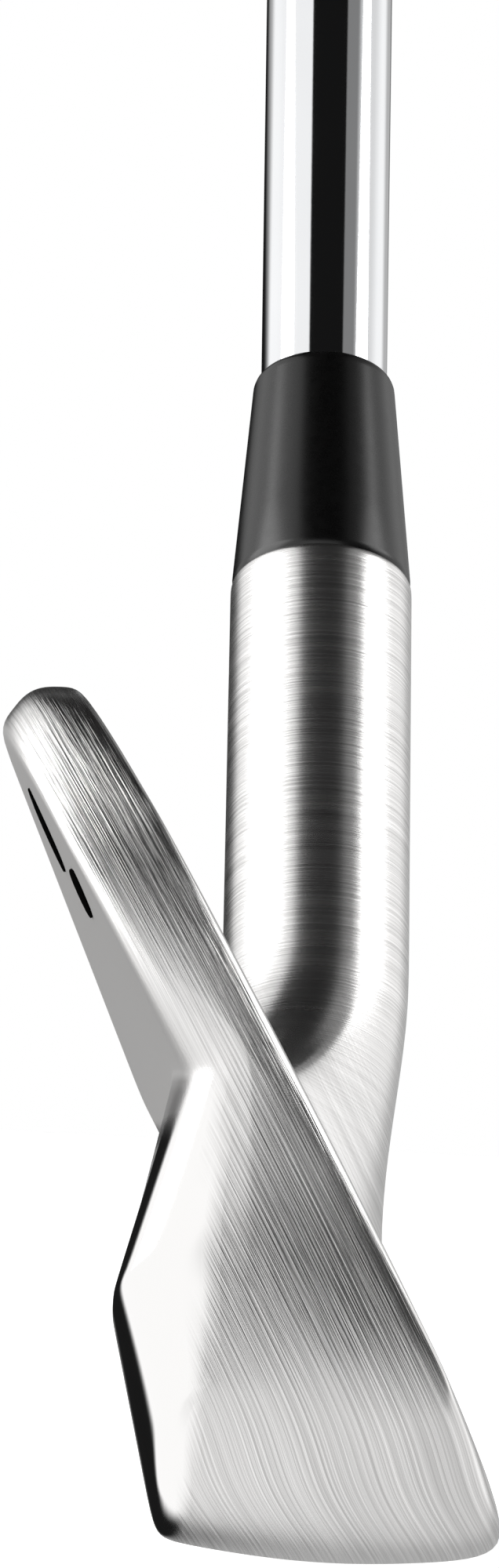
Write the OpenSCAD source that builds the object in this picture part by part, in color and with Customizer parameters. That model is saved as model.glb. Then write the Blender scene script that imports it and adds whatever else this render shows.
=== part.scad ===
// Six-iron golf club: forged muscle-back head, tapered ferrule, stepped steel shaft, rubber grip.
// The club stands at address. The origin is the point where the shaft's axis meets the ground,
// +Z is up, the toe points along -X, and the striking face looks towards -Y.

/* [Head] */
// Loft of the striking face, degrees back from upright
loft = 30.5; // [20:0.5:46]
// Lie angle of the shaft above the ground, degrees
lie = 62.5; // [59:0.5:65]
// Reach of the toe from the shaft's ground point
blade_len = 77.5; // [68:0.5:90]
// Height of the toe's peak above the ground
toe_h = 52.5; // [46:0.5:60]
// Height at which the toe reaches furthest out
toe_mid_h = 30; // [26:0.5:33]
// Fall of the top line towards the heel, degrees
top_fall = 23; // [18:0.5:26]
// Thickness of the upper blade and its top line
top_t = 5.6; // [4:0.1:8]
// Distance of the face plane in front of the shaft's ground point
face_fwd = 9.2; // [7:0.1:11]
// Height of the muscle's upper corner, where the thin blade ends
muscle_top = 29.6; // [26:0.1:33]
// Fall of the muscle's upper corner towards the heel, millimetres for each millimetre
muscle_fall = 0.12; // [0:0.01:0.15]
// Height of the muscle's ridge
ridge_h = 15.2; // [12:0.1:19]
// Reach of the muscle's ridge behind the shaft's ground point, at the toe
ridge_back = 17.6; // [14:0.1:22]
// Reach of the sole's trailing edge behind the shaft's ground point, at the toe
sole_back = 14.2; // [11:0.1:18]
// Narrowing of the muscle and sole towards the heel, millimetres for each millimetre
heel_taper = 0.08; // [0:0.01:0.1]
// Fall of the sole's camber from front to back
sole_camber = 1.2; // [0.4:0.1:2]
// Depth of the score lines
groove_depth = 0.45; // [0.3:0.05:0.5]
// Width of a score line
groove_w = 0.9; // [0.6:0.05:0.9]
// Spacing of the score lines
groove_pitch = 3.6; // [3:0.1:5]

/* [Hosel and ferrule] */
// Distance of the hosel's top from the ground point, along the shaft
hosel_top = 74.5; // [68:0.5:84]
// Diameter of the hosel
hosel_d = 13.3; // [12.6:0.1:14.4]
// Depth of the hosel's bore
bore_depth = 32; // [28:0.5:34]
// Glue gap between the bore and the shaft's tip, on the radius
glue_gap = 0.15; // [0.05:0.01:0.2]
// Visible length of the ferrule
ferrule_len = 17.8; // [12:0.1:26]
// Step down from the hosel's surface to the ferrule's, on the radius
ferrule_step = 0.1; // [0:0.05:0.3]
// Lip of the ferrule over the shaft at its rounded top, on the radius
ferrule_lip = 0.6; // [0.4:0.05:1]

/* [Shaft] */
// Club length along the axis, from the ground point to the cap's top
club_len = 952.5; // [860:0.5:1020]
// Diameter of the shaft's tip
tip_d = 9.02; // [8.9:0.01:9.4]
// Growth of the tip's diameter for each millimetre of length
tip_taper = 0.0075; // [0.005:0.0005:0.009]
// Length of the tapered tip
taper_len = 130; // [100:1:150]
// Distance of the first step from the tip
first_step = 215; // [170:1:260]
// Spacing of the steps
step_pitch = 44.5; // [36:0.5:46]
// Number of steps
step_count = 13; // [10:1:13]
// Diameter of the butt
butt_d = 15.24; // [14.7:0.01:15.6]
// Wall of the tube
wall = 0.5; // [0.4:0.05:0.8]
// Length of the plug in the tip
plug_len = 14; // [8:1:24]

/* [Grip] */
// Length of the rubber sleeve
grip_len = 262; // [230:1:285]
// Thickness of the rubber over the tape at the sleeve's mouth
mouth_wall = 1.7; // [1.3:0.1:2.6]
// Thickness of the rubber over the tape at the sleeve's butt end
butt_wall = 5.3; // [4:0.1:7]
// Thickness of the double-sided tape under the sleeve
tape_t = 0.2; // [0.1:0.05:0.4]
// Height of the cap
cap_h = 4.5; // [3:0.1:7]
// Diameter of the vent hole in the cap
vent_d = 2.5; // [1.5:0.1:3.5]
// Length of the shaft's band
band_len = 58; // [30:1:80]

/* [Hidden] */
$fn = 96;

// ---- blade ----
nf = 18;                 // levels up the face and the back
nt = 6;                  // steps across the top line and the sole
ring_n = 2 * (nf + nt);
toe_n = 9;               // stations round the toe's corners
blade_n = 9;             // stations along the straight blade
neck_n = 14;             // stations from the heel into the hosel
heel_x = -14;            // where the neck's blend begins
neck_s = 42;             // where the neck has become the round hosel
corner_a = 42;           // degrees at which the toe wall's grid begins
toe_bx = 14;             // half-width of the toe's upper curve
sole_bx = 24;            // half-width of the toe's lower curve
sole_p = 2.2;            // fullness of the lower curve
sole_r = 450;            // camber radius of the sole from toe to heel
edge_r = 0.9;            // rounding of the top line
lead_h = 3.4;            // height of the leading edge's upper end
trail_h = 2.3;           // height of the trailing edge
toe_crown = 0.5;         // crown of the toe wall

axis = [cos(lie), 0, sin(lie)];
up_toe = [-sin(lie), 0, cos(lie)];
top_cx = -blade_len + toe_bx;
low_cx = -blade_len + sole_bx;
top_a = toe_h - toe_mid_h;
// place on the upper curve where the straight top line starts
tan_a = 90 + atan(toe_bx / top_a * tan(top_fall));
line_x = top_cx - toe_bx * cos(tan_a);
line_h = toe_mid_h + top_a * sin(tan_a);

function lerp(a, b, t) = a + (b - a) * t;
function spow(v, p) = pow(max(v, 0), p);
function top_pt(a) = [top_cx - toe_bx * cos(a), toe_mid_h + top_a * sin(a)];
function low_pt(a) = [low_cx - sole_bx * spow(cos(a), 2 / sole_p),
    toe_mid_h * (1 - spow(sin(a), 2 / sole_p))];
function toe_x(h) = h > toe_mid_h
    ? top_cx - toe_bx * sqrt(max(0, 1 - pow((h - toe_mid_h) / top_a, 2)))
    : low_cx - sole_bx * spow(1 - spow((toe_mid_h - h) / toe_mid_h, sole_p), 1 / sole_p);
function top_line(x) = line_h - (x - line_x) * tan(top_fall);
function sole_line(x) = pow(max(0, x - low_cx), 2) / (2 * sole_r);

// ends of station i: [x at the sole, height there, x at the top, height there]
function ends(i) = i <= toe_n
    ? let (t = i / toe_n, b = low_pt(lerp(corner_a, 90, t)), u = top_pt(lerp(corner_a, tan_a, t)))
        [b[0], b[1], u[0], u[1]]
    : let (t = (i - toe_n) / blade_n, xb = lerp(low_cx, heel_x, t), xt = lerp(line_x, heel_x, t))
        [xb, sole_line(xb), xt, top_line(xt)];

// bow of the toe's outline outside the chord of the first station
function bow(q) = let (e = ends(0)) lerp(e[0], e[2], q) - toe_x(lerp(e[1], e[3], q));
function station_x(i, q) = let (e = ends(i), f = i < toe_n ? pow(1 - i / toe_n, 1.6) : 0)
    lerp(e[0], e[2], q) - f * bow(q);

function on_plane(h, w) = [-face_fwd + h * tan(loft) + w * cos(loft), h - w * sin(loft)];
function taper(x) = heel_taper * (x + blade_len - toe_bx);
function corner_yz(x) = let (z = muscle_top - muscle_fall * max(0, x + blade_len - toe_bx))
    [-face_fwd + z * tan(loft) + top_t / cos(loft), z];
function ridge_yz(x, zb) = [ridge_back - taper(x), lerp(ridge_h, zb + ridge_h * 0.86, 0.35)];
function trail_yz(x, zb) = [sole_back - taper(x), zb + trail_h];

// height of the back's level t, from 0 at the trailing edge to 1 at the top line
function back_yz(x, zb, ht, t) = let (s = trail_yz(x, zb), r = ridge_yz(x, zb), c = corner_yz(x),
        b = on_plane(ht - edge_r, top_t))
    t < 1 / 3 ? lerp(s, r, t * 3) + [0.5 * sin(540 * t), 0]
    : t < 2 / 3 ? lerp(r, c, t * 3 - 1) : lerp(c, b, t * 3 - 2);

function sole_yz(x, zb, t) = let (u = 2 * t - 1, s = trail_yz(x, zb), f = on_plane(zb + lead_h, 0))
    [lerp(s[0], f[0], t), zb + sole_camber * u * u
        + (u > 0 ? lead_h - sole_camber : trail_h - sole_camber) * pow(abs(u), 7)];

// height that places a point on the toe's outline: the top line is square to the face, the sole is level
function outline_h(p) = let (w = (p[0] + face_fwd) * cos(loft) - p[1] * sin(loft))
    p[1] + min(max(w, 0), top_t) * sin(loft) * p[1] / toe_h;

// share of the way up that ring point j lies, and its place in the section of station i, as [y, z]
function level(j) = j <= nf ? j / nf : j <= nf + nt ? 1
    : j <= 2 * nf + nt ? 1 - (j - nf - nt) / nf : 0;
function section_yz(i, j) = let (e = ends(i), q = level(j), x = lerp(e[0], e[2], q))
    j <= nf ? on_plane(lerp(e[1] + lead_h, e[3] - edge_r, q), 0)
    : j < nf + nt ? let (t = (j - nf) / nt) on_plane(e[3] - edge_r * pow(abs(2 * t - 1), 4), top_t * t)
    : j <= 2 * nf + nt ? back_yz(x, e[1], e[3], q)
    : sole_yz(x, e[1], (j - 2 * nf - nt) / nt);
function blade_pt(i, j) = let (e = ends(i), p = section_yz(i, j))
    [station_x(i, (outline_h(p) - e[1]) / (e[3] - e[1])), p[0], p[1]];

// inside of the toe wall: level j, step k from the face to the back
function wall_pt(j, k) = let (t = k / nt, p = lerp(section_yz(0, j), section_yz(0, 2 * nf + nt - j), t))
    [toe_x(outline_h(p)) - toe_crown * sin(180 * t) * sin(180 * j / nf), p[0], p[1]];

// direction on the hosel's circle that ring point j runs into
function circle_a(j) = j <= nf ? lerp(-50, 50, j / nf)
    : j <= nf + nt ? lerp(50, 130, (j - nf) / nt)
    : j <= 2 * nf + nt ? lerp(130, 230, (j - nf - nt) / nf) : lerp(230, 310, (j - 2 * nf - nt) / nt);
function hosel_pt(s, j) = let (a = circle_a(j))
    axis * s + hosel_d / 2 * (cos(a) * [0, -1, 0] + sin(a) * up_toe);
function neck_pt(t, j) = let (a = blade_pt(toe_n + blade_n, j), b = hosel_pt(neck_s, j), d = norm(b - a),
        f = tan(top_fall) * level(j), u = [1, -f * tan(loft), -f])
    (2 * t * t * t - 3 * t * t + 1) * a + (t * t * t - 2 * t * t + t) * d * u
    + (3 * t * t - 2 * t * t * t) * b + (t * t * t - t * t) * d * axis;

stations = toe_n + blade_n + neck_n + 1;
function ring(i) = i <= toe_n + blade_n ? [for (j = [0:ring_n - 1]) blade_pt(i, j)]
    : i < stations ? [for (j = [0:ring_n - 1]) neck_pt((i - toe_n - blade_n) / neck_n, j)]
    : [for (j = [0:ring_n - 1]) hosel_pt(hosel_top, j)];
head_pts = concat([for (i = [0:stations]) each ring(i)],
    [for (j = [1:nf - 1], k = [1:nt - 1]) wall_pt(j, k)], [axis * hosel_top]);
wall_0 = (stations + 1) * ring_n;
lid_c = wall_0 + (nf - 1) * (nt - 1);
function wall_id(j, k) = k == 0 ? j : k == nt ? 2 * nf + nt - j
    : j == 0 ? ring_n - k : j == nf ? nf + k : wall_0 + (j - 1) * (nt - 1) + k - 1;
head_faces = concat(
    [for (i = [0:stations - 1], j = [0:ring_n - 1])
        let (a = i * ring_n + j, b = i * ring_n + (j + 1) % ring_n)
        each [[a, b, a + ring_n], [b, b + ring_n, a + ring_n]]],
    [for (j = [0:nf - 1], k = [0:nt - 1])
        let (a = wall_id(j, k), b = wall_id(j + 1, k), c = wall_id(j + 1, k + 1), d = wall_id(j, k + 1))
        each [[a, c, b], [a, d, c]]],
    [for (j = [0:ring_n - 1]) [lid_c, stations * ring_n + j, stations * ring_n + (j + 1) % ring_n]]);

// ---- places along the shaft ----
tip_s = hosel_top - bore_depth + 0.5;
butt_s = club_len - cap_h - 1;
step_0 = tip_s + first_step;
par_r = tip_d / 2 + tip_taper / 2 * taper_len;
step_r = (butt_d / 2 - par_r) / step_count;
step_ramp = 1.6;
grip_s = club_len - cap_h - grip_len;
band_s = grip_s - band_len - 22;
ferrule_s = hosel_top + ferrule_len;
ferrule_r = hosel_d / 2 - ferrule_step;
ferrule_gap = 0.06;      // gap between the ferrule and the shaft
ferrule_round = 0.9;     // height of the ferrule's rounded top
grip_r = butt_d / 2 + tape_t + butt_wall;
cap_round = 2.4;         // rounding of the cap's edge
mark_t = 0.3;            // thickness of the paint fills
mark_gap = 0.02;         // gap round them

function shaft_r(s) = s < tip_s + taper_len ? tip_d / 2 + tip_taper / 2 * (s - tip_s)
    : par_r + step_r * len([for (k = [0:step_count - 1]) if (s > step_0 + k * step_pitch) k]);
// the shaft's outline from a to b, moved out by off
function outline(a, b, off) = concat([[shaft_r(a) + off, a]],
    a < tip_s + taper_len && b > tip_s + taper_len ? [[par_r + off, tip_s + taper_len]] : [],
    [for (k = [0:step_count - 1]) let (s = step_0 + k * step_pitch) if (s > a && s + step_ramp < b)
        each [[par_r + k * step_r + off, s], [par_r + (k + 1) * step_r + off, s + step_ramp]]],
    [[shaft_r(b) + off, b]]);
function flip(p) = [for (i = [len(p) - 1:-1:0]) p[i]];
mouth_r = shaft_r(grip_s) + tape_t + mouth_wall;

module along(s = 0) rotate([0, 90 - lie, 0]) translate([0, 0, s]) children();
module on_face() translate([0, -face_fwd, 0]) rotate([-loft, 0, 0]) children();
module turned(pts) along() rotate_extrude() polygon(pts);

// two slanted leaves on the toe end of the back, as [x, height up the face] corners
function leaf(x, v, l, w, a) = [for (c = [[-l / 2, 0], [l / 8, w / 2], [l / 2, 0], [l / 8, -w / 2]])
    [x + c[0] * cos(a) - c[1] * sin(a), v + c[0] * sin(a) + c[1] * cos(a)]];
mark_x = -blade_len + 15;
mark_v = (toe_h - 6) / cos(loft);
module leaves(grow) offset(delta = grow) {
    polygon(leaf(mark_x, mark_v, 8.8, 1.7, -37));
    polygon(leaf(mark_x - 2, mark_v - 4.2, 7.2, 2.2, -20));
}
// the fills lie in the back's surface, flush with it
module in_back(depth, grow) on_face() translate([0, top_t + 0.01, 0]) rotate([90, 0, 0])
    linear_extrude(depth) leaves(grow);

groove_v = 7;            // height of the lowest score line up the face
groove_n = floor((toe_h / cos(loft) - 2 * groove_v) / groove_pitch);
module score_lines() on_face() for (i = [0:groove_n - 1]) {
    v = groove_v + i * groove_pitch;
    h = v * cos(loft);
    left = toe_x(h) + 9 > -blade_len + 15 ? toe_x(h) + 9 : -blade_len + 15;
    right = min(heel_x - 7, line_x + (line_h - h) / tan(top_fall) - 7);
    if (right - left > 8)
        translate([left, -1, v - groove_w / 2]) cube([right - left, 1 + groove_depth, groove_w]);
}

module head() color([0.80, 0.80, 0.81]) difference() {
    polyhedron(head_pts, head_faces, convexity = 8);
    along(hosel_top - bore_depth) cylinder(r = shaft_r(hosel_top) + glue_gap, h = bore_depth + 1);
    in_back(mark_t + 0.01, 0.04);
    score_lines();
}

module back_mark() color([0.05, 0.05, 0.05]) in_back(mark_t, 0);

module hosel_epoxy() color([0.55, 0.52, 0.42])
    turned(concat(outline(tip_s, hosel_top, 0), [[shaft_r(hosel_top) + glue_gap, hosel_top],
        [shaft_r(hosel_top) + glue_gap, tip_s]]));

// the ferrule's top rounds over from the edge of its bore, so it never reaches into the shaft
module ferrule() color([0.06, 0.06, 0.065])
    turned(concat(outline(hosel_top, ferrule_s, ferrule_gap),
        [for (a = [75:-15:0]) [shaft_r(ferrule_s) + lerp(ferrule_gap, ferrule_lip, cos(a)),
            ferrule_s - ferrule_round * (1 - sin(a))]],
        [[ferrule_r, hosel_top + 0.6], [ferrule_r - 0.15, hosel_top]]));

module shaft() color([0.72, 0.73, 0.75])
    turned(concat(outline(tip_s, butt_s, 0), flip(outline(tip_s, butt_s, -wall))));

module tip_plug() color([0.75, 0.60, 0.28])
    along(tip_s) cylinder(r = tip_d / 2 - wall, h = plug_len);

module shaft_band() color([0.15, 0.15, 0.16])
    turned(concat(outline(band_s, band_s + band_len, 0), flip(outline(band_s, band_s + band_len, 0.1))));

module grip_tape() color([0.88, 0.86, 0.78])
    turned(concat(outline(grip_s + 3, butt_s, 0), flip(outline(grip_s + 3, butt_s, tape_t))));

module grip_sleeve() color([0.09, 0.09, 0.09])
    turned(concat([[shaft_r(grip_s) + 0.05, grip_s], [shaft_r(grip_s) + 0.05, grip_s + 3]],
        outline(grip_s + 3, butt_s, tape_t), [[butt_d / 2 + tape_t, grip_s + grip_len]],
        [for (t = [1:-0.1:0]) [lerp(mouth_r, grip_r, 0.35 * t + 0.65 * t * t),
            grip_s + 1.2 + (grip_len - 1.2) * t]],
        [[mouth_r - 0.7, grip_s]]));

module grip_cap() color([0.09, 0.09, 0.09])
    turned(concat([[vent_d / 2, club_len - cap_h], [grip_r, club_len - cap_h]],
        [for (a = [0:15:90]) [grip_r - cap_round * (1 - cos(a)), club_len - cap_round * (1 - sin(a))]],
        [[vent_d / 2, club_len]]));

head();
back_mark();
hosel_epoxy();
ferrule();
shaft();
tip_plug();
shaft_band();
grip_tape();
grip_sleeve();
grip_cap();
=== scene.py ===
# %% [markdown]
# # A forged muscle-back iron
# An iron club is a forged steel head on a stepped steel tube, with a rubber grip at the far end.
# The engineering model gives every piece its place, so it is loaded first and stays fixed. The pieces
# that show are then modelled again around it, in metres, with rounder edges and real surface finishes.

# %% Load the fixed frame
import bmesh
import bpy
import math
from math import cos, pi, radians, sin, sqrt, tan
from mathutils import Matrix, Vector


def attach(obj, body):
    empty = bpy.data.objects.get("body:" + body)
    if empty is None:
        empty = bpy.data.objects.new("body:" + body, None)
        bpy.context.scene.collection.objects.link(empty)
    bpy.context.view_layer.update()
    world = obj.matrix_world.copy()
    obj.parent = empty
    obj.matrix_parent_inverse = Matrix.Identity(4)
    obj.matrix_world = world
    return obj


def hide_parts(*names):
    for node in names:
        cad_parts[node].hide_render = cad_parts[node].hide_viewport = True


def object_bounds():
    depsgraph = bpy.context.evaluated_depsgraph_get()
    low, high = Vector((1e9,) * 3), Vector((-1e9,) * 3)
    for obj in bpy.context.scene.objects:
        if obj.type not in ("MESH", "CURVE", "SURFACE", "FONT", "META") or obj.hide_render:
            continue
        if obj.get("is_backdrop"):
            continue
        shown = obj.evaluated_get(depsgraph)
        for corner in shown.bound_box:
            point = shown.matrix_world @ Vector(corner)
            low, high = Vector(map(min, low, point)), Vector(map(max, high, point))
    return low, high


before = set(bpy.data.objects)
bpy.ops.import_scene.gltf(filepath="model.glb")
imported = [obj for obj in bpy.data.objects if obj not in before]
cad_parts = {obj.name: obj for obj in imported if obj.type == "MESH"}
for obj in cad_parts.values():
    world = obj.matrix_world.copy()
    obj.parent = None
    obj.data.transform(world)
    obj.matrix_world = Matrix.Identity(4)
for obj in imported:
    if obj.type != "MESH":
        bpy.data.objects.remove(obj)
cad_low, cad_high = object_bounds()
MM = 0.001
print("CAD box, mm:", [round(v / MM, 1) for v in (*cad_low, *cad_high)])

# %% [markdown]
# The head is drawn from a few numbers that a club maker works with: loft and lie angles, the reach and
# height of the toe, the thickness of the blade, and the muscle of steel low on its back.

# %% Driving sizes of the head, in millimetres
LOFT = radians(30.5)
LIE = radians(62.5)
BLADE_LEN = 77.5
TOE_H = 52.5
TOE_MID = 30.0
TOP_FALL = radians(23)
TOP_T = 5.6
FACE_FWD = 9.2
MUSCLE_TOP = 29.6
MUSCLE_FALL = 0.12
RIDGE_H = 15.2
RIDGE_BACK = 17.6
SOLE_BACK = 14.2
HEEL_TAPER = 0.08
SOLE_CAMBER = 1.2
HOSEL_TOP = 74.5
HOSEL_R = 6.65
BORE_DEPTH = 32.0
BORE_R = 4.79
AXIS = Vector((cos(LIE), 0, sin(LIE)))
UP_TOE = Vector((-sin(LIE), 0, cos(LIE)))
print("shaft axis:", tuple(round(v, 3) for v in AXIS))

# %% [markdown]
# Seen from the front, the toe is two quarter ellipses that meet where the toe reaches furthest out. The
# top line runs straight off the upper one towards the heel, and the sole off the lower one.

# %% The outline of the toe
UPPER_RX, UPPER_RZ = 14.0, TOE_H - TOE_MID
LOWER_RX, LOWER_P = 24.0, 2.2
UPPER_X = -BLADE_LEN + UPPER_RX
LOWER_X = -BLADE_LEN + LOWER_RX
HEEL_X = -14.0
LINE_A = pi / 2 + math.atan(UPPER_RX / UPPER_RZ * tan(TOP_FALL))
LINE_X = UPPER_X - UPPER_RX * cos(LINE_A)
LINE_H = TOE_MID + UPPER_RZ * sin(LINE_A)
START_A = radians(42)


def mix(a, b, t):
    return a + (b - a) * t


def toe_x(h):
    if h > TOE_MID:
        return UPPER_X - UPPER_RX * sqrt(max(0.0, 1 - ((h - TOE_MID) / UPPER_RZ) ** 2))
    low = max(0.0, (TOE_MID - h) / TOE_MID)
    return LOWER_X - LOWER_RX * max(0.0, 1 - low ** LOWER_P) ** (1 / LOWER_P)


def ends_at(u):
    """x and height of the sole and of the top line: u runs 0 to 1 round the toe, and 1 to 2 along the blade."""
    if u <= 1:
        a, b = mix(START_A, pi / 2, u), mix(START_A, LINE_A, u)
        return (LOWER_X - LOWER_RX * max(0.0, cos(a)) ** (2 / LOWER_P), TOE_MID * (1 - sin(a) ** (2 / LOWER_P)),
                UPPER_X - UPPER_RX * cos(b), TOE_MID + UPPER_RZ * sin(b))
    xb, xt = mix(LOWER_X, HEEL_X, u - 1), mix(LINE_X, HEEL_X, u - 1)
    return xb, max(0.0, xb - LOWER_X) ** 2 / 900, xt, LINE_H - (xt - LINE_X) * tan(TOP_FALL)


print("top line starts at", round(LINE_X, 1), round(LINE_H, 1), "and falls to", round(ends_at(2)[3], 1))

# %% [markdown]
# Cut across, the blade is a six-sided section: leading edge, front and back of the top line, the hollow
# corner where the muscle starts, the muscle's ridge and the trailing edge. Every corner of a forging is
# ground round. A Subdivision Surface rounds a corner of its cage by itself, so each corner gets three cage
# points, set so that the finished surface lies on an arc of the wanted radius.

# %% The blade's section
def on_plane(h, w):
    return Vector((-FACE_FWD + h * tan(LOFT) + w * cos(LOFT), h - w * sin(LOFT)))


def arc_points(before, corner, after, r):
    a, b = (before - corner).normalized(), (after - corner).normalized()
    half = a.angle(b) / 2
    p0, p2 = corner + a * (r / tan(half)), corner + b * (r / tan(half))
    middle = corner + (a + b).normalized() * (r / sin(half) - r)
    return p0, (middle * 6 - p0 - p2) / 4, p2


LEVELS, STEPS = 16, 8
RADII = {"lead": 1.9, "front": 1.15, "rear": 1.5, "hollow": 1.6, "ridge": 2.2, "trail": 2.0}


def section(u):
    """Cage points of the section at u, as (y, z): {(level, step): point} for the four sides."""
    xb, zb, xt, ht = ends_at(u)
    x = mix(xb, xt, 0.4)
    back = HEEL_TAPER * (x + BLADE_LEN - UPPER_RX)
    z_c = MUSCLE_TOP - MUSCLE_FALL * max(0.0, x + BLADE_LEN - UPPER_RX)
    lead, front, rear = on_plane(zb + SOLE_CAMBER, 0), on_plane(ht, 0), on_plane(ht, TOP_T)
    hollow = Vector((-FACE_FWD + z_c * tan(LOFT) + TOP_T / cos(LOFT), z_c))
    ridge = Vector((RIDGE_BACK - back, mix(RIDGE_H, zb + RIDGE_H * 0.86, 0.35)))
    trail = Vector((SOLE_BACK - back, zb + SOLE_CAMBER))
    sole = mix(lead, trail, 0.5) - Vector((0, SOLE_CAMBER))
    lead_c = arc_points(front, lead, mix(lead, sole, 0.5), RADII["lead"])
    front_c = arc_points(lead, front, rear, RADII["front"])
    rear_c = arc_points(front, rear, hollow, RADII["rear"])
    hollow_c = arc_points(rear, hollow, ridge, RADII["hollow"])
    ridge_c = arc_points(hollow, ridge, trail, RADII["ridge"])
    trail_c = arc_points(ridge, trail, mix(trail, sole, 0.5), RADII["trail"])
    pts = {}
    for j in range(LEVELS + 1):
        pts[j, 0] = mix(lead_c[0], front_c[0], (j - 1) / (LEVELS - 2))
    pts[0, 0], pts[LEVELS, 0] = lead_c[1], front_c[1]
    for k in range(1, STEPS):
        t = (k - 1) / (STEPS - 2)
        pts[LEVELS, k] = mix(front_c[2], rear_c[0], t)
        pts[0, k] = mix(lead_c[2], trail_c[2], t) - Vector((0, 0.7 * sin(pi * t)))
    pts[LEVELS, STEPS], pts[LEVELS - 1, STEPS] = rear_c[1], rear_c[2]
    for n, j in enumerate(range(LEVELS - 2, 10, -1)):
        pts[j, STEPS] = mix(rear_c[2], hollow_c[0], (n + 1) / 5)
    for j, p in zip((10, 9, 8, 7, 6, 5), (*hollow_c, *ridge_c)):
        pts[j, STEPS] = p
    for n, j in enumerate((4, 3, 2)):
        pts[j, STEPS] = mix(ridge_c[2], trail_c[0], (n + 1) / 4)
    pts[1, STEPS], pts[0, STEPS] = trail_c[0], trail_c[1]
    return pts


sections = {}


def cached_section(u):
    key = round(u, 6)
    if key not in sections:
        sections[key] = section(key)
    return sections[key]


print("section points:", len(section(1)))

# %% [markdown]
# The cage starts as one cube. Its edges are cut into a box-shaped grid: 38 cuts from toe to hosel, 16 levels
# up the face and the back, and 8 steps through the thickness. Each vertex then moves to its place on the
# club, so that one closed skin runs from the toe, along the blade and up the neck into the round hosel.

# %% Where a vertex of the box grid goes
TOE_U = [0, 0.05, 0.14, 0.26, 0.39, 0.53, 0.68, 0.84, 1]
TOE_U_BACK = [0, 0.16, 0.26, 0.37, 0.48, 0.60, 0.73, 0.86, 1]
TOE_U_MUSCLE = [0, 0.36, 0.46, 0.56, 0.65, 0.74, 0.83, 0.92, 1]
TOE_N, BLADE_N, NECK_N = 8, 9, 15
HOSEL_S = [48, 56, 65, 73.4, 74.3, 74.5]
STATIONS = TOE_N + BLADE_N + NECK_N + len(HOSEL_S)
NECK_S = 42.0
RIM_FACE, RIM_BACK, MUSCLE_ROUND_Y = 1.9, 1.5, 11.2


def muscle_share(j):
    """1 on the levels of the muscle, falling to 0 above the hollow corner."""
    return min(1.0, max(0.0, (11.5 - j) / 2))


def outline_h(p):
    w = (p.x + FACE_FWD) * cos(LOFT) - p.y * sin(LOFT)
    return p.y + min(max(w, 0.0), TOP_T) * sin(LOFT) * p.y / TOE_H


def bow(q):
    xb, zb, xt, ht = ends_at(0)
    return mix(xb, xt, q) - toe_x(mix(zb, ht, q))


# how far the crowned top line stands off its flat outline at the face's edge, in the middle and at the back
CROWN_FRONT, CROWN_MIDDLE, CROWN_REAR = 0.15, 0.95, 0.22


def top_crown(u, k):
    """How far the top line's grid point moves along the outline's own outward direction."""
    if u <= 1:
        a = mix(START_A, LINE_A, u)
        out = Vector((-cos(a) / UPPER_RX, sin(a) / UPPER_RZ)).normalized()
    else:
        out = Vector((sin(TOP_FALL), cos(TOP_FALL)))
    t = k / STEPS
    bulge = CROWN_MIDDLE - (CROWN_FRONT + CROWN_REAR) / 2
    offset = mix(CROWN_FRONT, CROWN_REAR, t) + bulge * sin(pi * t)
    # the crown dies away at the toe's tip, where the top line runs into the toe wall
    fade = min(1.0, u / 0.6) ** 2
    return Vector((out.x, out.y * sin(LOFT), out.y * cos(LOFT))) * offset * fade


def blade_point(i, j, k):
    if i <= TOE_N:
        u = mix(TOE_U[i], mix(TOE_U_BACK[i], TOE_U_MUSCLE[i], muscle_share(j)), k / STEPS)
    else:
        u = 1 + (i - TOE_N) / BLADE_N
    p = cached_section(u)[j, k]
    xb, zb, xt, ht = ends_at(u)
    q = (outline_h(p) - zb) / (ht - zb)
    x = mix(xb, xt, q) - (max(0.0, 1 - u) ** 1.6) * bow(q)
    point = Vector((x, p.x, p.y))
    return point + top_crown(u, k) if j == LEVELS else point


def wall_point(j, k):
    """Inside of the toe wall, which spans from the face's rim to the back's."""
    rim = cached_section(0)
    a, b = rim[j, 0], rim[j, STEPS]
    span = (b - a).length
    # the muscle's big rounding starts on one upright line, whatever the back does behind it
    upright = (MUSCLE_ROUND_Y - a.x) / (b.x - a.x)
    last = mix(1 - RIM_BACK / span, upright, muscle_share(j))
    t = mix(RIM_FACE / span, last, (k - 1) / (STEPS - 2))
    p = mix(a, b, t)
    crown = 0.5 * sin(pi * t) * sin(pi * j / LEVELS)
    return Vector((toe_x(outline_h(p)) - crown, p.x, p.y))


def ring_index(j, k):
    if k == 0:
        return j
    if j == LEVELS:
        return LEVELS + k
    if k == STEPS:
        return LEVELS + STEPS + (LEVELS - j)
    return 2 * LEVELS + STEPS + (STEPS - k)


RING = 2 * (LEVELS + STEPS)


def hosel_point(s, j, k, r=HOSEL_R):
    turn = 2 * pi * (ring_index(j, k) - LEVELS / 2) / RING
    full = r / (2 / 3 + cos(2 * pi / RING) / 3)
    return AXIS * s + full * (cos(turn) * Vector((0, -1, 0)) + sin(turn) * UP_TOE)


def neck_point(t, j, k):
    a, b = blade_point(TOE_N + BLADE_N, j, k), hosel_point(NECK_S, j, k)
    d = (b - a).length
    fall = tan(TOP_FALL) * j / LEVELS
    along = Vector((1, -fall * tan(LOFT), -fall))
    return ((2 * t ** 3 - 3 * t ** 2 + 1) * a + (t ** 3 - 2 * t ** 2 + t) * d * along
            + (3 * t ** 2 - 2 * t ** 3) * b + (t ** 3 - t ** 2) * d * AXIS)


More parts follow.
